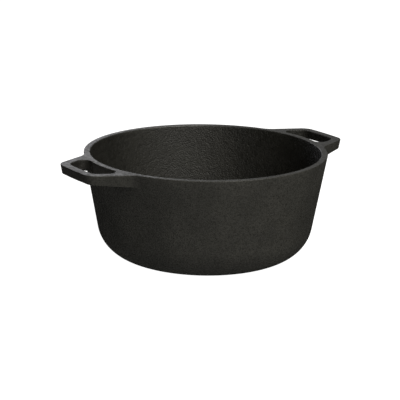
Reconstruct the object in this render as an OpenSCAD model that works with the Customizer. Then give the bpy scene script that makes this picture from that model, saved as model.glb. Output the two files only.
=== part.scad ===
// Cast iron dutch oven pot: a round vessel that tapers towards its base, and
// two loop handles cast flush with the rim. The handles lie along X.
// The origin is the centre of the base, on the surface that the pot stands on.

/* [Vessel] */
// Outer diameter across the rim
rim_d = 268; // [260:1:276]
// Height from the base to the rim
pot_h = 116; // [108:1:124]
// Lean of the wall from upright, in degrees
wall_lean = 10.2; // [8:0.1:12]
// Thickness of the wall just above the heel, square to its surface
wall_t = 5; // [4:0.1:6]
// Thickness of the floor
floor_t = 5.5; // [4.5:0.1:7]
// Outer radius of the heel, between the wall and the base
heel_r = 39.5; // [34:0.5:44]
// Inner radius of the heel
inner_heel_r = 35; // [30:0.5:40]

/* [Rim and base] */
// Width of the flat top of the rim, which the wall widens to
rim_w = 7; // [6:0.1:8]
// Bevel on the two edges of the rim
rim_bevel = 0.8; // [0.4:0.1:1.2]
// Depth of the recess under the base
recess_depth = 0.8; // [0.4:0.1:1.5]
// Width of the flat ring that the pot stands on
foot_w = 11; // [6:1:16]

/* [Handles] */
// Span across both handles
span = 336; // [332:1:342]
// Distance from the pot's axis at which the arm's place is given
arm_u = 140; // [138:0.5:142]
// Half width of the handle there
arm_v = 44.8; // [42:0.1:48]
// Angle between each arm and the handle's own axis
arm_angle = 24.4; // [20:0.1:28]
// Width of each arm
arm_w = 10.4; // [8:0.1:12]
// Width of the grip bar
grip_w = 9.8; // [8:0.1:12]
// Thickness at the outer edge of the grip
grip_t = 10; // [8:0.1:12]
// Thickness where the arms meet the vessel
root_t = 13.2; // [11:0.1:15]
// Outer radius of the grip's corners
grip_corner_r = 15; // [12:0.5:18]
// Inner radius of the slot's corners
slot_corner_r = 10; // [7:0.5:12]
// Radius of the fillet between arm and rim
arm_fillet_r = 21; // [16:0.5:26]
// Radius of the slot's corners beside the rim
slot_fillet_r = 8.5; // [6:0.5:10]
// How far the outer faces pull in towards the underside
draft = 2; // [1:0.1:3]

/* [Hidden] */

rim_r = rim_d / 2;
lean_run = tan(wall_lean);
heel_steps = 14;
corner_steps = 8;
root_steps = corner_steps;     // ring_face() pairs the root's points with the fillets'
smooth = 180;                  // segments of a full turn
iron = [0.17, 0.17, 0.16];

crown_rise = 1.2;              // bow of the grip's outer edge
slot_crown = 1;                // bow of the slot's outer edge
low_round = 1.6;               // edge break on the handle's underside
slot_flare = 0.6;              // how much the slot widens towards the underside
slot_round = 2.5;              // width of the edge break there
root_bite = 0.5;               // how far the fillets at the roots aim inside the wall
arm_root_angle = 26;           // where the outside of an arm meets the wall, from X
slot_root_angle = 14;          // where the slot's side meets it
under_slope = (root_t - grip_t) / (span / 2 - rim_r);

// A unit vector along v
function unit(v) = v / norm(v);

// A plane vector turned by an angle
function turned(v, a) = [v.x * cos(a) - v.y * sin(a), v.x * sin(a) + v.y * cos(a)];

// Points along an arc
function arc(c, r, a0, a1, n) =
    [for (i = [0:n]) let (a = a0 + (a1 - a0) * i / n) c + r * [cos(a), sin(a)]];

// Outer radius of the vessel's wall at a height
function wall_r(z) = rim_r - (pot_h - z) * lean_run;

// Radius to the centre of a heel arc of radius r whose centre is at height z, inside a
// wall that leans and is top_r from the axis at the rim
function heel_centre_r(top_r, lean, r, z) = top_r - (pot_h - z) * tan(lean) - r / cos(lean);

// Half section of the vessel
function vessel_section() =
    let (
        inner_top = rim_r - rim_w,
        inner_z = floor_t + inner_heel_r,
        inner_lean = atan(lean_run - (rim_w - wall_t / cos(wall_lean)) / (pot_h - heel_r)),
        outer_c = [heel_centre_r(rim_r, wall_lean, heel_r, heel_r), heel_r],
        inner_c = [heel_centre_r(inner_top, inner_lean, inner_heel_r, inner_z), inner_z],
        foot_r = outer_c.x - foot_w
    )
    concat(
        [[0, recess_depth], [foot_r - recess_depth, recess_depth], [foot_r, 0]],
        arc(outer_c, heel_r, -90, -wall_lean, heel_steps),
        [
            [wall_r(pot_h - rim_bevel), pot_h - rim_bevel],
            [rim_r - rim_bevel, pot_h],
            [inner_top + rim_bevel, pot_h],
            [inner_top - rim_bevel * tan(inner_lean), pot_h - rim_bevel]
        ],
        arc(inner_c, inner_heel_r, -inner_lean, -90, heel_steps),
        [[0, floor_t]]
    );

// The n + 1 points of a rounded corner at p, between its neighbours a and b
function corner_arc(a, p, b, r, n = corner_steps) =
    let (
        into = unit(p - a),
        out = unit(b - p),
        turn = atan2(cross(into, out), into * out),
        side = sign(turn),
        back = r * tan(abs(turn) / 2),
        c = p - back * into + side * r * [-into.y, into.x],
        start = side * r * [into.y, -into.x]
    )
    [for (i = [0:n]) c + turned(start, turn * i / n)];

// The centre of a fillet between the line p + s * along and a round wall of radius r.
// side is 1 with the fillet outside the arm and -1 with it in the slot.
function fillet_centre(p, along, r, fillet, side) =
    let (
        o = p + side * fillet * [along.y, -along.x],
        b = o * along
    )
    o + (-b - sqrt(b * b - (o * o - pow(r + fillet, 2)))) * along;

// The points of that fillet, from the arm to the wall
function fillet_arc(p, along, r, fillet, side) =
    let (
        c = fillet_centre(p, along, r - root_bite, fillet, side),
        far = norm(c),
        short = acos((far * far + fillet * fillet - r * r) / (2 * far * fillet)),
        from = -side * [along.y, -along.x],
        to = -c / far,
        turn = atan2(cross(from, to), from * to)
    )
    [for (i = [0:corner_steps])
        c + fillet * turned(from, (turn - sign(turn) * short) * i / corner_steps)];

// Thickness of the handle at a distance x from the pot's axis
function thickness(x) = grip_t + under_slope * (span / 2 - x);

// Radius of the vessel's wall where the handle's ring meets it, at an angle from X.
// The ring is a share of the handle's thickness below the rim, and more.
function root_r(angle, share, more) =
    (rim_r - (share * thickness(0) + more) * lean_run)
    / (1 - share * under_slope * lean_run * cos(angle));

// One half of the handle's outline, on the side y > 0: around the grip and the arm to
// the wall, along the wall, and back around the slot. The outer face is set in by d, and
// the slot is grown by grow. share and more give the height, as for root_r.
function half_outline(d, grow, share, more, bevel) =
    let (
        along = [-cos(arm_angle), sin(arm_angle)],
        square = [along.y, -along.x],

        outer_p = [arm_u, arm_v] - d * square,
        outer_x = span / 2 - crown_rise - d,
        outer_corner = outer_p + (outer_x - outer_p.x) / along.x * along,
        outer_top = [span / 2 - d, 0],
        outer_fillet = fillet_arc(outer_p, along, root_r(arm_root_angle, share, more) - bevel,
            arm_fillet_r + d, 1),

        slot_p = [arm_u, arm_v] - (arm_w - grow) * square,
        slot_x = span / 2 - grip_w - slot_crown + grow,
        slot_corner = slot_p + (slot_x - slot_p.x) / along.x * along,
        slot_top = [slot_x + slot_crown, 0],
        slot_fillet = fillet_arc(slot_p, along, root_r(slot_root_angle, share, more) - bevel,
            slot_fillet_r, -1),

        a0 = atan2(outer_fillet[corner_steps].y, outer_fillet[corner_steps].x),
        a1 = atan2(slot_fillet[corner_steps].y, slot_fillet[corner_steps].x),
        wall = [for (i = [1:root_steps - 1])
            let (a = a0 + (a1 - a0) * i / root_steps)
            (root_r(a, share, more) - bevel) * [cos(a), sin(a)]]
    )
    concat(
        [outer_top],
        corner_arc(outer_top, outer_corner, outer_fillet[0], grip_corner_r - d),
        outer_fillet,
        wall,
        [for (i = [corner_steps:-1:0]) slot_fillet[i]],
        corner_arc(slot_fillet[0], slot_corner, slot_top, slot_corner_r + grow),
        [slot_top]
    );

// The whole outline at its height, as a closed ring of points in space
function ring(d, grow, share, more, bevel = 0) =
    let (
        half = half_outline(d, grow, share, more, bevel),
        last = len(half) - 1,
        flat = concat(half, [for (i = [last - 1:-1:1]) [half[i].x, -half[i].y]])
    )
    [for (q = flat) [q.x, q.y, pot_h - share * thickness(q.x) - more]];

// The flat face that closes a ring, as triangles. Each half is a strip from the grip to
// the root, between the outer edge and the slot's, and three more along the wall.
function ring_face(n) =
    let (
        end = 2 * corner_steps + 2,          // where the outer edge meets the wall
        turn = end - corner_steps / 2,       // the last rung across the arm
        half_steps = root_steps / 2,
        half = n / 2,
        rungs = [for (i = [0:turn - 1])
            each [[i, i + 1, half - i - 1], [i, half - i - 1, half - i]]],
        outside = [for (j = [0:half_steps - 1])
            each [[end - j, end + j, end + j + 1], [end - j, end + j + 1, end - j - 1]]],
        foot = end + root_steps,             // where the slot's edge meets the wall
        inside = [for (j = [0:half_steps - 1])
            each [[foot + j, foot + j + 1, foot - j - 1], [foot + j, foot - j - 1, foot - j]]],
        middle = [[turn, end + half_steps, half - turn]],
        faces = [for (f = concat(rungs, outside, inside, middle))
            if (f[0] != f[1] && f[1] != f[2] && f[0] != f[2]) f]
    )
    concat(faces, [for (f = faces) [(n - f[2]) % n, (n - f[1]) % n, (n - f[0]) % n]]);

// Solid between rings that have the same number of points, from the top down
module loft(rings) {
    n = len(rings[0]);
    last = len(rings) - 1;
    points = [for (r = rings) each r];
    sides = [for (k = [0:last - 1], i = [0:n - 1])
        let (a = k * n + i, b = k * n + (i + 1) % n)
        each [[a, b, a + n], [b, b + n, a + n]]];
    top = [for (f = ring_face(n)) [f[2], f[1], f[0]]];
    bottom = [for (f = ring_face(n)) f + last * n * [1, 1, 1]];
    polyhedron(points, concat(sides, top, bottom), convexity = 6);
}

module handle() {
    loft([
        ring(rim_bevel, rim_bevel, 0, 0, rim_bevel - rim_bevel * lean_run),
        ring(0, 0, 0, rim_bevel),
        ring(draft, slot_flare, 1, -low_round),
        ring(draft + low_round, slot_flare + slot_round, 1, 0)
    ]);
}

module vessel() {
    color(iron) rotate_extrude($fn = smooth) polygon(vessel_section());
}

module left_handle() {
    color(iron) rotate([0, 0, 180]) handle();
}

module right_handle() {
    color(iron) handle();
}

vessel();
left_handle();
right_handle();
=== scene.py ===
"""A raw cast iron dutch oven pot: the round vessel and its two loop handles, on a pale floor.

Shapes are worked out in millimetres and written to the meshes in metres.
"""
import functools
import math

import bpy
import numpy as np
from mathutils import Matrix, Vector


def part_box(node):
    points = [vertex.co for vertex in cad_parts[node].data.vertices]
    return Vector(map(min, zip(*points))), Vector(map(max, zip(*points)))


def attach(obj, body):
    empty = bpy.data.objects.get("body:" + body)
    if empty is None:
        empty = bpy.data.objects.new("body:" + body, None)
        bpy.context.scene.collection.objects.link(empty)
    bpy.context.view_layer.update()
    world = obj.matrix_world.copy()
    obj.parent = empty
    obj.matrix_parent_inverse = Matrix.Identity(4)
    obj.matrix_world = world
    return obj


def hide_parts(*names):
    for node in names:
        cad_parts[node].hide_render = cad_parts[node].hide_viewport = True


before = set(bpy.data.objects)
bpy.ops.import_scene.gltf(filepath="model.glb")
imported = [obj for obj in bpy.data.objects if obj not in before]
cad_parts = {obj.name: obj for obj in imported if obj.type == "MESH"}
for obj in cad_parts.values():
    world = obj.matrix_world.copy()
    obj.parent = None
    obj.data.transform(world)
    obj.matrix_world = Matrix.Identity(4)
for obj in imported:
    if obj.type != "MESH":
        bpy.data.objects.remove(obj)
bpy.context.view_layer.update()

# ---------------------------------------------------------------- sizes, in millimetres

MM = 0.001

vessel_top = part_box("vessel")[1] / MM
RIM_R = round(vessel_top.x, 1)                        # outer radius of the rim
TOP = round(vessel_top.z, 1)                          # height of the rim
REACH = round(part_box("right_handle")[1].x / MM, 1)    # from the axis to the grip's outer edge

LEAN = math.radians(10.2)         # lean of the wall, and draft of the handles' outer faces
WALL_T = 5.0                      # wall above the heel, square to its surface
FLOOR_T = 5.5
HEEL_R = 39.5                     # outer radius between the wall and the base
INNER_HEEL_R = 35.0
RIM_W = 7.0                       # flat top of the rim
RIM_ROUND = 0.6                   # radius on the outer edges of the rim and of the handles' tops
INNER_ROUND = 1.0                 # radius on the rim's inner edge and around the slots
RECESS = 0.8                      # depth of the recess under the base
RECESS_SLOPE = 2.0                # width of the slope between the recess and the foot ring
FOOT_W = 11.0                     # ring that the pot stands on
FOOT_ROUND = 2.5                  # radius at the top and bottom of that slope

ARM_U, ARM_V = 140.0, 44.8        # a point on the outside of an arm
ARM_ANGLE = math.radians(24.4)    # between an arm and the handle's axis
ARM_W = 10.4                      # width of an arm
GRIP_W = 9.8                      # width of the grip
GRIP_T, ROOT_T = 10.0, 13.2       # thickness at the grip's edge and at the wall
GRIP_CORNER_R = 15.0              # outer corners of the grip
SLOT_CORNER_R = 10.0              # the slot's corners at the grip
ARM_FILLET_R = 21.0               # between an arm and the rim
SLOT_FILLET_R = 8.0               # the slot's corners at the rim
CROWN_RISE, SLOT_CROWN = 1.2, 1.0 # bow of the grip's outer and inner edges
CROWN_R = 250.0                   # radius in the middle of both
SLOT_DRAFT = math.radians(3.0)    # how the slot widens downwards
UNDER_ROUND = 1.2                 # radius on the handle's lower outer edge
SLOT_UNDER_ROUND = 2.5            # radius on the slot's lower edge
RELIEF = 0.65                     # how far the underside rises beside the slot
RELIEF_FROM, RELIEF_TO = 9.0, 3.5 # the distances from the slot that it rises between
UNDER_FILLET = 3.0                # fillet between the handle's underside and the wall

EMBED = 1.5                       # how far a handle's root reaches into the vessel's wall
SKIN = 0.004                      # how far the root's faces lie under the vessel's surface
CLIP_V, CLIP_DEPTH = 62.0, 20.0   # limits of a handle's root along the wall and down it
CLIP_INSET = 26.0                 # more than the root's distance inside the rim's radius
PLAN_INSET = 8.0                  # how far inside that radius the plan outlines end
TOP_TILT = math.radians(30)       # faces that tilt less than this are the handles' tops, given a lighter colour as painted reflection

# ---------------------------------------------------------------- resolution

TURNS = 300                       # segments around the vessel
HEEL_STEPS, FOOT_STEPS, RIM_STEPS, INNER_STEPS = 40, 4, 6, 8
FLAT_STEP, WALL_STEP, RIM_STEP = 6, 3, 2    # longest segments along the profile, in millimetres
CROWN_STEPS, CORNER_STEPS, ROOT_STEPS = 8, 16, 24
END_NUDGE = 0.001                 # past a root fillet's end, a point that gives its direction
GRID = 0.55                       # spacing of the grid that the handles are meshed on
FIT_PASSES = 4                    # times that the mesh's points are moved onto the surface
MIN_SLOPE_2 = 0.25                # least square of the gradient that a move divides by
FIT_H, NORMAL_H = 0.02, 0.05      # steps of the gradient for those moves, and for the normals


# ---------------------------------------------------------------- meshes

def mesh_object(name, points, faces, normals=None):
    """A smooth mesh object from points in millimetres."""
    mesh = bpy.data.meshes.new(name)
    mesh.from_pydata((np.asarray(points) * MM).tolist(), [], faces)
    mesh.validate()
    mesh.shade_smooth()
    if normals is not None:
        mesh.normals_split_custom_set_from_vertices(normals.tolist())
    obj = bpy.data.objects.new(name, mesh)
    bpy.context.scene.collection.objects.link(obj)
    return obj


def arc(centre, radius, start, end, steps):
    """Points of an arc, angles in radians."""
    angles = np.linspace(start, end, steps + 1)
    return [(centre[0] + radius * math.cos(a), centre[1] + radius * math.sin(a)) for a in angles]


def fillet(before, corner, after, radius, steps):
    """Points of the arc that rounds a corner between two straight lines."""
    p = np.array(corner, float)
    into = unit(p - before)
    out = unit(np.array(after, float) - p)
    turn = math.atan2(into[0] * out[1] - into[1] * out[0], into @ out)
    side = math.copysign(1, turn)
    centre = p - into * radius * math.tan(abs(turn) / 2) + side * radius * left_of(into)
    first = math.atan2(*(-side * left_of(into))[::-1])
    return arc(centre, radius, first, first + turn, steps)


def unit(v):
    v = np.asarray(v, float)
    return v / np.linalg.norm(v)


def left_of(v):
    return np.array([-v[1], v[0]])


def line(a, b, step):
    """Points between a and b, without the ends, no more than step apart."""
    a, b = np.array(a, float), np.array(b, float)
    count = math.ceil(np.linalg.norm(b - a) / step)
    return [tuple(a + (b - a) * i / count) for i in range(1, count)]


# ---------------------------------------------------------------- the vessel

def heel_centre(wall, lean, radius, z):
    """Centre, at height z, of an arc of a radius inside the wall line through a point with a lean."""
    return (wall[0] - (wall[1] - z) * math.tan(lean) - radius / math.cos(lean), z)


def vessel_profile():
    """The half section as (radius, height) points, with the first index of the rim and inside."""
    edge, inner_edge = (RIM_R, TOP), (RIM_R - RIM_W, TOP)
    wall_top = TOP - HEEL_R
    inner_lean = math.atan(math.tan(LEAN) - (RIM_W - WALL_T / math.cos(LEAN)) / wall_top)
    outer = heel_centre(edge, LEAN, HEEL_R, HEEL_R)
    inner = heel_centre(inner_edge, inner_lean, INNER_HEEL_R, FLOOR_T + INNER_HEEL_R)
    foot = outer[0] - FOOT_W

    heel = arc(outer, HEEL_R, -math.pi / 2, -LEAN, HEEL_STEPS)
    inner_heel = arc(inner, INNER_HEEL_R, -inner_lean, -math.pi / 2, HEEL_STEPS)
    slope_top, slope_foot = (foot - RECESS_SLOPE, RECESS), (foot, 0)
    recess_edge = fillet((0, RECESS), slope_top, slope_foot, FOOT_ROUND, FOOT_STEPS)
    foot_edge = fillet(slope_top, slope_foot, (outer[0], 0), FOOT_ROUND, FOOT_STEPS)
    rim_outer = fillet(heel[-1], edge, inner_edge, RIM_ROUND, RIM_STEPS)
    rim_inner = fillet(edge, inner_edge, inner_heel[0], INNER_ROUND, INNER_STEPS)

    points = line((0, RECESS), recess_edge[0], FLAT_STEP) + recess_edge + foot_edge
    points += line(foot_edge[-1], heel[0], WALL_STEP) + heel
    points += line(heel[-1], rim_outer[0], WALL_STEP) + rim_outer
    rim_start = len(points) - 1
    points += line(rim_outer[-1], rim_inner[0], RIM_STEP) + rim_inner
    inside_start = len(points) - 1
    points += line(rim_inner[-1], inner_heel[0], WALL_STEP) + inner_heel
    points += line(inner_heel[-1], (0, FLOOR_T), FLAT_STEP)
    return points, rim_start, inside_start


def make_vessel():
    """The vessel as one closed surface of revolution, with its outside, rim and inside marked.
    The rim gets a lighter colour, a painted reflection, and the inside a darker one, partly painted
    shade.
    """
    profile, rim_start, inside_start = vessel_profile()
    count = len(profile)
    angles = 2 * np.pi * np.arange(TURNS) / TURNS
    r, z = np.array(profile).T[:, :, None]
    rings = np.stack([
        r * np.cos(angles), r * np.sin(angles), np.broadcast_to(z, (count, TURNS)),
    ], axis=-1).reshape(-1, 3)
    points = np.vstack([rings, [(0, 0, RECESS)], [(0, 0, FLOOR_T)]])

    faces, slots = [], []
    for i in range(count - 1):
        # Index 1, the rim, takes the lighter colour, a painted reflection; index 2, the inside, the
        # darker one, partly painted shade.
        slot = 0 if i < rim_start else 1 if i < inside_start else 2
        for k in range(TURNS):
            n = (k + 1) % TURNS
            faces.append((i * TURNS + k, i * TURNS + n, (i + 1) * TURNS + n, (i + 1) * TURNS + k))
            slots.append(slot)
    last = (count - 1) * TURNS
    for k in range(TURNS):
        n = (k + 1) % TURNS
        faces.append((n, k, count * TURNS))
        faces.append((last + k, last + n, count * TURNS + 1))
        slots += [0, 2]

    vessel = mesh_object("vessel_casting", points, faces)
    vessel.data.polygons.foreach_set("material_index", slots)
    return vessel


# ---------------------------------------------------------------- the handles

def root_fillet(p, along, radius, side):
    """Corner of the fillet between an arm's line and the rim's circle, and the point where it ends.
    side is 1 with the fillet outside the arm, and -1 with it in the slot."""
    square = left_of(along) * -side
    o = p + radius * square
    b = o @ along
    centre = o + (-b - math.sqrt(b * b - (o @ o - (RIM_R + radius) ** 2))) * along
    touch = centre * RIM_R / (RIM_R + radius)
    tangent = unit(left_of(touch))
    q = p - touch
    k = (q[0] * along[1] - q[1] * along[0]) / (tangent[0] * along[1] - tangent[1] * along[0])
    return touch + k * tangent, touch + side * END_NUDGE * tangent


def plan_outline(set_in, x, crown, corner_r, fillet_r, side):
    """Closed outline in plan, of the handle (side 1) or of its slot (side -1). set_in is how
    far inside the arm's outer face its edge lies, and x is the grip's edge at its corners."""
    along = np.array([-math.cos(ARM_ANGLE), math.sin(ARM_ANGLE)])
    p = np.array([ARM_U, ARM_V]) + set_in * left_of(along)
    corner = p + along * (x - p[0]) / along[0]
    root, end = root_fillet(p, along, fillet_r, side)
    apex = np.array([x + crown, 0.0])
    crown_arc = fillet(corner * (1, -1), apex, corner, CROWN_R, CROWN_STEPS)
    half = crown_arc[CROWN_STEPS // 2:]
    half += fillet(apex, corner, root, corner_r, CORNER_STEPS)
    half += fillet(corner, root, end, fillet_r, ROOT_STEPS)
    half.append(tuple(unit(half[-1]) * (RIM_R - PLAN_INSET)))
    return np.array(half + [(u, -v) for u, v in half[::-1]][:-1])


def outline_distance(x, y, outline):
    """Signed distance in plan from an outline, less than 0 inside it."""
    nearest = np.full(x.shape, np.inf)
    inside = np.zeros(x.shape, bool)
    for (ax, ay), (bx, by) in zip(outline, np.roll(outline, -1, axis=0)):
        ex, ey = bx - ax, by - ay
        t = np.clip(((x - ax) * ex + (y - ay) * ey) / (ex * ex + ey * ey), 0, 1)
        nearest = np.minimum(nearest, (x - ax - t * ex) ** 2 + (y - ay - t * ey) ** 2)
        if ay != by:
            crosses = ((ay > y) != (by > y)) & (x < ax + (y - ay) * ex / ey)
            inside ^= crosses
    return np.where(inside, -1, 1) * np.sqrt(nearest)


def overlap(*solids):
    """What is in all of the solids."""
    return functools.reduce(np.maximum, solids)


def round_edge(a, b, radius, cosine):
    """Both of two half spaces, with a round edge. cosine is that of the angle between their normals."""
    p, q = a + radius, b + radius
    beyond = (p > cosine * q) & (q > cosine * p)
    square = (p * p + q * q - 2 * cosine * p * q) / (1 - cosine * cosine)
    return np.where(beyond, np.sqrt(np.maximum(square, 0)) - radius, np.maximum(a, b))


def round_join(a, b, radius, cosine):
    """Either of two half spaces, with a fillet."""
    return -round_edge(-a, -b, radius, cosine)


OUTER_PLAN = plan_outline(0, REACH - CROWN_RISE, CROWN_RISE, GRIP_CORNER_R, ARM_FILLET_R, 1)
SLOT_PLAN = plan_outline(ARM_W, REACH - GRIP_W - SLOT_CROWN, SLOT_CROWN, SLOT_CORNER_R,
                         SLOT_FILLET_R, -1)


def handle_field(x, y, z, plan=None):
    """Signed distances, less than 0 in the iron: from the right handle joined to the vessel,
    and from the vessel's leaning wall alone. plan is both outlines' distances, if known."""
    outer_plan, slot_plan = plan or [outline_distance(x, y, o) for o in (OUTER_PLAN, SLOT_PLAN)]
    depth = TOP - z
    under_slope = (ROOT_T - GRIP_T) / (REACH - RIM_R)

    wall = (np.hypot(x, y) - RIM_R) * math.cos(LEAN) + depth * math.sin(LEAN)
    outer = outer_plan * math.cos(LEAN) + depth * math.sin(LEAN)
    slot = -slot_plan * math.cos(SLOT_DRAFT) + depth * math.sin(SLOT_DRAFT)
    rise = np.clip((RELIEF_FROM - slot_plan) / (RELIEF_FROM - RELIEF_TO), 0, 1)
    relief = RELIEF * rise * rise * (3 - 2 * rise)
    under = (depth - GRIP_T - under_slope * (REACH - x) + relief) * math.cos(math.atan(under_slope))
    under = round_join(under, wall, UNDER_FILLET, math.sin(LEAN))

    lean_cos, slot_cos = math.sin(LEAN), math.sin(SLOT_DRAFT)
    bar = overlap(
        round_edge(outer, -depth, RIM_ROUND, -lean_cos),
        round_edge(slot, -depth, INNER_ROUND, -slot_cos),
        round_edge(outer, under, UNDER_ROUND, lean_cos),
        round_edge(slot, under, SLOT_UNDER_ROUND, slot_cos),
    )
    vessel = round_edge(wall, -depth, RIM_ROUND, -lean_cos)
    return np.minimum(bar, vessel), wall


def handle_solid(x, y, z, plan=None):
    """The field of the handle as its own piece, cut off inside the vessel's wall."""
    joined, wall = handle_field(x, y, z, plan)
    return overlap(joined + SKIN, -wall - EMBED, np.abs(y) - CLIP_V, TOP - CLIP_DEPTH - z)


def surface_net(field, origin, step):
    """Points and quads of the surface where a sampled field crosses 0."""
    inside = field < 0
    cells = np.array(inside.shape) - 1
    corners = [(i, j, k) for i in (0, 1) for j in (0, 1) for k in (0, 1)]

    def shifted(a, corner):
        return a[tuple(slice(c, c + n) for c, n in zip(corner, cells))]

    held = sum(shifted(inside, c).astype(int) for c in corners)
    active = (held > 0) & (held < 8)
    at = np.argwhere(active)
    index = np.full(cells, -1)
    index[active] = np.arange(len(at))

    total = np.zeros((len(at), 3))
    count = np.zeros(len(at))
    for a in corners:
        for axis in range(3):
            if a[axis]:
                continue
            b = tuple(c + (n == axis) for n, c in enumerate(a))
            va, vb = shifted(field, a)[active], shifted(field, b)[active]
            cut = (va < 0) != (vb < 0)
            share = np.where(cut, va / np.where(cut, va - vb, 1), 0)
            total += cut[:, None] * (np.array(a) + share[:, None] * np.eye(3)[axis])
            count += cut
    points = origin + (at + total / count[:, None]) * step

    faces = []
    for axis in range(3):
        u, v = [n for n in range(3) if n != axis]
        ahead = np.moveaxis(inside, axis, 0)
        change = np.moveaxis(ahead[1:] != ahead[:-1], 0, axis)
        edges = np.argwhere(change)
        a, b = edges[:, u], edges[:, v]
        edges = edges[(a > 0) & (b > 0) & (a < cells[u]) & (b < cells[v])]
        back_u, back_v = np.eye(3, dtype=int)[u], np.eye(3, dtype=int)[v]
        ring = [edges - back_u - back_v, edges - back_v, edges, edges - back_u]
        quads = np.stack([index[tuple(c.T)] for c in ring], axis=1)
        flip = inside[tuple(edges.T)] != (axis != 1)
        quads[flip] = quads[flip][:, ::-1]
        faces.append(quads)
    return points, np.vstack(faces)


def gradient(points, h):
    """Gradient of the handle's field at points, over steps of h."""
    columns = []
    for axis in range(3):
        d = h * np.eye(3)[axis]
        columns.append((handle_solid(*(points + d).T) - handle_solid(*(points - d).T)) / (2 * h))
    return np.stack(columns, axis=1)


def handle_mesh():
    """Points, faces and normals of the right handle."""
    margin = 2 * GRID
    low = np.array([RIM_R - CLIP_INSET, -CLIP_V - margin, TOP - CLIP_DEPTH - margin])
    high = np.array([REACH + margin, CLIP_V + margin, TOP + margin])
    axes = [np.arange(a, b + GRID, GRID) for a, b in zip(low, high)]
    x, y = np.meshgrid(axes[0], axes[1], indexing="ij")
    plan = [outline_distance(x, y, o)[:, :, None] for o in (OUTER_PLAN, SLOT_PLAN)]
    field = handle_solid(x[:, :, None], y[:, :, None], axes[2][None, None, :], plan)
    points, faces = surface_net(field, low, GRID)

    furthest = GRID / 3
    for _ in range(FIT_PASSES):
        slope = gradient(points, FIT_H)
        size = np.maximum((slope ** 2).sum(axis=1), MIN_SLOPE_2)
        move = (handle_solid(*points.T) / size)[:, None] * slope
        points -= np.clip(move, -furthest, furthest)
    normals = gradient(points, NORMAL_H)
    normals /= np.maximum(np.linalg.norm(normals, axis=1), 1e-9)[:, None]
    return points, faces, normals


def make_handles():
    """The left and right handles, the same shape turned half round, with their outside, tops and
    slot sides marked. The tops get a lighter colour, a painted reflection, and the slot sides the
    darker inside colour, a painted shade."""
    points, faces, normals = handle_mesh()
    x, y, _ = points[faces].mean(axis=1).T
    # Faces beside the slot, which get the darker inside colour as painted shade.
    slot_sides_painted_shade = np.abs(outline_distance(x, y, SLOT_PLAN)) < SLOT_UNDER_ROUND
    faces = faces.tolist()
    turned = np.array([-1, -1, 1])
    right = mesh_object("right_handle_casting", points, faces, normals)
    left = mesh_object("left_handle_casting", points * turned, faces, normals * turned)
    for handle in (left, right):
        # Tops get the lighter colour, a painted reflection; faces beside the slot the darker one, a
        # painted shade.
        tops = np.array([f.normal.z > math.cos(TOP_TILT) for f in handle.data.polygons])
        slots = np.where(tops, 1, np.where(slot_sides_painted_shade, 2, 0))
        handle.data.polygons.foreach_set("material_index", slots.astype(np.int32))
    return left, right


# ---------------------------------------------------------------- cast iron

def set_inputs(node, values):
    """Numbers and colours of a node's inputs."""
    for key, value in values.items():
        node.inputs[key].default_value = value


class Nodes:
    """Short calls for building a material's nodes."""

    def __init__(self, name):
        self.material = bpy.data.materials.new(name)
        self.material.use_nodes = True
        self.tree = self.material.node_tree
        self.shader = self.tree.nodes["Principled BSDF"]

    def add(self, kind, settings=(), **inputs):
        node = self.tree.nodes.new(kind)
        for key, value in dict(settings).items():
            setattr(node, key, value)
        for key, value in inputs.items():
            self.set(node, key.replace("_", " "), value)
        return node

    def set(self, node, key, value):
        if isinstance(value, bpy.types.NodeSocket):
            self.tree.links.new(value, node.inputs[key])
        else:
            node.inputs[key].default_value = value

    def noise(self, where, size_mm, detail, roughness):
        """Noise whose features are about size_mm across, from 0 to 1."""
        return self.add("ShaderNodeTexNoise", Vector=where, Scale=1 / (size_mm * MM),
                        Detail=detail, Roughness=roughness).outputs["Fac"]

    def ramp(self, value, low, high, to_low, to_high):
        """value from low to high, mapped to to_low to to_high."""
        node = self.add("ShaderNodeMapRange", {"interpolation_type": "SMOOTHSTEP"}, Value=value)
        set_inputs(node, {"From Min": low, "From Max": high, "To Min": to_low, "To Max": to_high})
        return node.outputs["Result"]

    def mix(self, share, a, b):
        node = self.add("ShaderNodeMix", {"data_type": "RGBA"})
        self.set(node, 0, share)
        self.set(node, 6, a)
        self.set(node, 7, b)
        return node.outputs[2]

    def bump(self, height, depth_mm, normal=None):
        node = self.add("ShaderNodeBump", Strength=1.0, Distance=depth_mm * MM, Height=height)
        if normal is not None:
            self.set(node, "Normal", normal)
        return node.outputs["Normal"]


GRAIN_MM, PEBBLE_MM, PATCH_MM = 1.5, 4.2, 38.0    # sizes of the features in the iron
NOISE_LOW, NOISE_HIGH = 0.3, 0.7                  # that nearly all of a noise lies between
HOLLOW_END = 0.6                                  # where the grain is out of its hollows
HOLLOW_SHADE = 0.62                               # the tone in them, of the dark colour


def cast_iron(name, grain_depth, pebble_depth, dark, light, roughness, gloss):
    """Seasoned cast iron with the grain of a sand mould. Depths are in millimetres. The colour
    goes from dark to light, and roughness is a low and a high value."""
    n = Nodes(name)
    where = n.add("ShaderNodeTexCoord").outputs["Object"]
    grain = n.noise(where, GRAIN_MM, detail=2.0, roughness=0.55)
    pebble = n.noise(where, PEBBLE_MM, detail=1.0, roughness=0.5)
    patches = n.noise(where, PATCH_MM, detail=3.0, roughness=0.55)

    hollow = [c * HOLLOW_SHADE for c in dark] + [1]
    tone = n.mix(n.ramp(patches, NOISE_LOW, NOISE_HIGH, 0, 1), (*dark, 1), (*light, 1))
    out_of_hollow = n.ramp(grain, NOISE_LOW, HOLLOW_END, 0, 1)
    n.set(n.shader, "Base Color", n.mix(out_of_hollow, hollow, tone))
    n.set(n.shader, "Roughness", n.ramp(pebble, NOISE_LOW, NOISE_HIGH, *roughness))
    n.shader.inputs["Specular IOR Level"].default_value = gloss
    n.set(n.shader, "Normal", n.bump(grain, grain_depth, n.bump(pebble, pebble_depth)))
    return n.material


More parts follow.
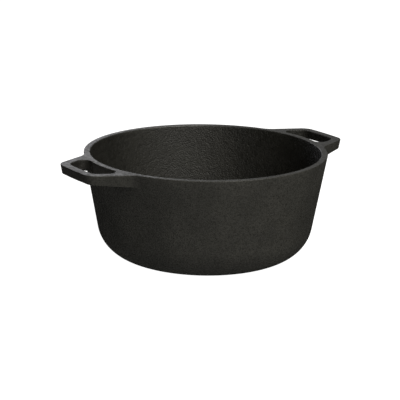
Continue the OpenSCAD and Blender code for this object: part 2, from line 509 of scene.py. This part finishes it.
# ---------------------------------------------------------------- stage, in metres

AZIMUTH, ELEVATION, ROLL = (math.radians(a) for a in (-34.2, 15.43, 0.794))
DISTANCE = 1.6854                           # from the camera to the point that it looks at
TARGET_Z, TARGET_LEFT = 0.0596, 0.00565     # that point's height, and its distance left of the axis
LENS_MM, SENSOR_MM = 136.9, 36
UP = Vector((0, 0, 1))

FLOOR_SIZE = 14
FLOOR_TONE, FLOOR_GLOW = 0.2, 1.05
ROOM_LOW, ROOM_HIGH = 0.01, 0.024           # the room's light below and above the horizon
HORIZON_LOW, HORIZON_HIGH = -0.1, 0.15      # heights that it changes between, of a unit direction

# Soft lights: their places to the camera's right, towards it and up, sizes, powers and colours
LIGHTS = {
    "key": ((0.79, 1.265, 1.47), (1.8, 1.8), 106.0, (1.0, 0.98, 0.90)),
    "back": ((-0.35, -1.8, 0.75), (2.0, 0.9), 2.0, (1.0, 1.0, 1.0)),
    "back_left": ((-0.42, -1.0, 0.45), (0.7, 0.45), 1.4, (0.95, 0.95, 1.0)),
}
LIT_POINT = Vector((0, 0, 0.08))            # that the lights face


def area_light(name, place, size, power, colour):
    """A soft light of a width and height, which the camera doesn't see."""
    data = bpy.data.lights.new(name, "AREA")
    data.shape = "RECTANGLE"
    data.energy, data.color, (data.size, data.size_y) = power, colour, size
    light = bpy.data.objects.new(name, data)
    light.location = place
    light.rotation_euler = (LIT_POINT - place).to_track_quat("-Z", "Y").to_euler()
    light.visible_camera = False
    bpy.context.scene.collection.objects.link(light)


def make_camera():
    """The camera. Returns its directions along the floor, to its right and towards it."""
    right = Vector((math.cos(AZIMUTH), math.sin(AZIMUTH), 0))
    front = Vector((math.sin(AZIMUTH), -math.cos(AZIMUTH), 0))
    back = math.cos(ELEVATION) * front + math.sin(ELEVATION) * UP
    up = back.cross(right)
    target = TARGET_Z * UP - TARGET_LEFT * right
    data = bpy.data.cameras.new("camera")
    data.lens, data.sensor_width = LENS_MM, SENSOR_MM
    camera = bpy.data.objects.new("camera", data)
    tilted_right = math.cos(ROLL) * right + math.sin(ROLL) * up
    tilted_up = math.cos(ROLL) * up - math.sin(ROLL) * right
    turn = Matrix((tilted_right, tilted_up, back)).transposed().to_4x4()
    camera.matrix_world = Matrix.Translation(target + DISTANCE * back) @ turn
    bpy.context.scene.collection.objects.link(camera)
    bpy.context.scene.camera = camera
    return right, front


def make_floor():
    """A pale floor that glows, so that it stays bright around the pot. Reflections pass through it."""
    n = Nodes("floor_paint")
    set_inputs(n.shader, {
        "Base Color": (FLOOR_TONE, FLOOR_TONE, FLOOR_TONE, 1), "Roughness": 0.9,
        "Specular IOR Level": 0.1, "Emission Color": (1, 1, 1, 1), "Emission Strength": FLOOR_GLOW,
    })
    bpy.ops.mesh.primitive_plane_add(size=FLOOR_SIZE)
    floor = bpy.context.object
    floor.name = "floor"
    floor.data.materials.append(n.material)
    floor.visible_glossy = False


def make_surround():
    """White where the camera looks past the floor, and otherwise a dim room, darker below."""
    world = bpy.data.worlds.new("surround")
    world.use_nodes = True
    tree = world.node_tree
    background = tree.nodes["Background"]
    path = tree.nodes.new("ShaderNodeLightPath")
    place = tree.nodes.new("ShaderNodeTexCoord")
    split = tree.nodes.new("ShaderNodeSeparateXYZ")
    tree.links.new(place.outputs["Generated"], split.inputs[0])
    level = tree.nodes.new("ShaderNodeMapRange")
    set_inputs(level, {"From Min": HORIZON_LOW, "From Max": HORIZON_HIGH,
                       "To Min": ROOM_LOW, "To Max": ROOM_HIGH})
    tree.links.new(split.outputs["Z"], level.inputs["Value"])
    seen = tree.nodes.new("ShaderNodeMath")
    seen.operation = "MAXIMUM"
    tree.links.new(path.outputs["Is Camera Ray"], seen.inputs[0])
    tree.links.new(level.outputs["Result"], seen.inputs[1])
    tree.links.new(seen.outputs[0], background.inputs["Strength"])
    background.inputs["Color"].default_value = (1, 1, 1, 1)
    bpy.context.scene.world = world


def make_stage():
    """The camera, floor, surround and soft lights."""
    right, front = make_camera()
    make_floor()
    make_surround()
    for name, ((u, v, w), size, power, colour) in LIGHTS.items():
        area_light(name, u * right + v * front + w * UP, size, power, colour)


# ---------------------------------------------------------------- put together

bpy.context.scene.view_settings.view_transform = "Standard"

OUTSIDE = cast_iron("iron_outside", grain_depth=0.26, pebble_depth=0.18,
                    dark=(0.0126, 0.0123, 0.0107), light=(0.0176, 0.0170, 0.0147),
                    roughness=(0.45, 0.60), gloss=0.26)
# The rim's and handles' tops: finer grain and more gloss, and a lighter colour that is a painted
# reflection.
TOPS_PAINTED_REFLECTION = cast_iron("iron_tops_painted_reflection", grain_depth=0.07, pebble_depth=0.08,
                dark=(0.0145, 0.0142, 0.0134), light=(0.0210, 0.0206, 0.0192),
                roughness=(0.40, 0.52), gloss=0.45)
# The inside and the slots' sides: coarser grain and a darker colour. The olive tint is the iron's own;
# the darkness is partly painted shade on the inside and wholly painted shade on the slots' sides.
INSIDE_TINT_AND_PAINTED_SHADE = cast_iron("iron_inside_tint_and_painted_shade", grain_depth=0.72, pebble_depth=0.36,
                   dark=(0.0056, 0.0054, 0.0045), light=(0.0090, 0.0086, 0.0071),
                   roughness=(0.45, 0.60), gloss=0.22)

vessel = make_vessel()
left_handle, right_handle = make_handles()
for piece in (vessel, left_handle, right_handle):
    for material in (OUTSIDE, TOPS_PAINTED_REFLECTION, INSIDE_TINT_AND_PAINTED_SHADE):
        piece.data.materials.append(material)

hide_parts("vessel")
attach(vessel, "root")

for handle, node in ((left_handle, "left_handle"), (right_handle, "right_handle")):
    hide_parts(node)
    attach(handle, "root")

make_stage()
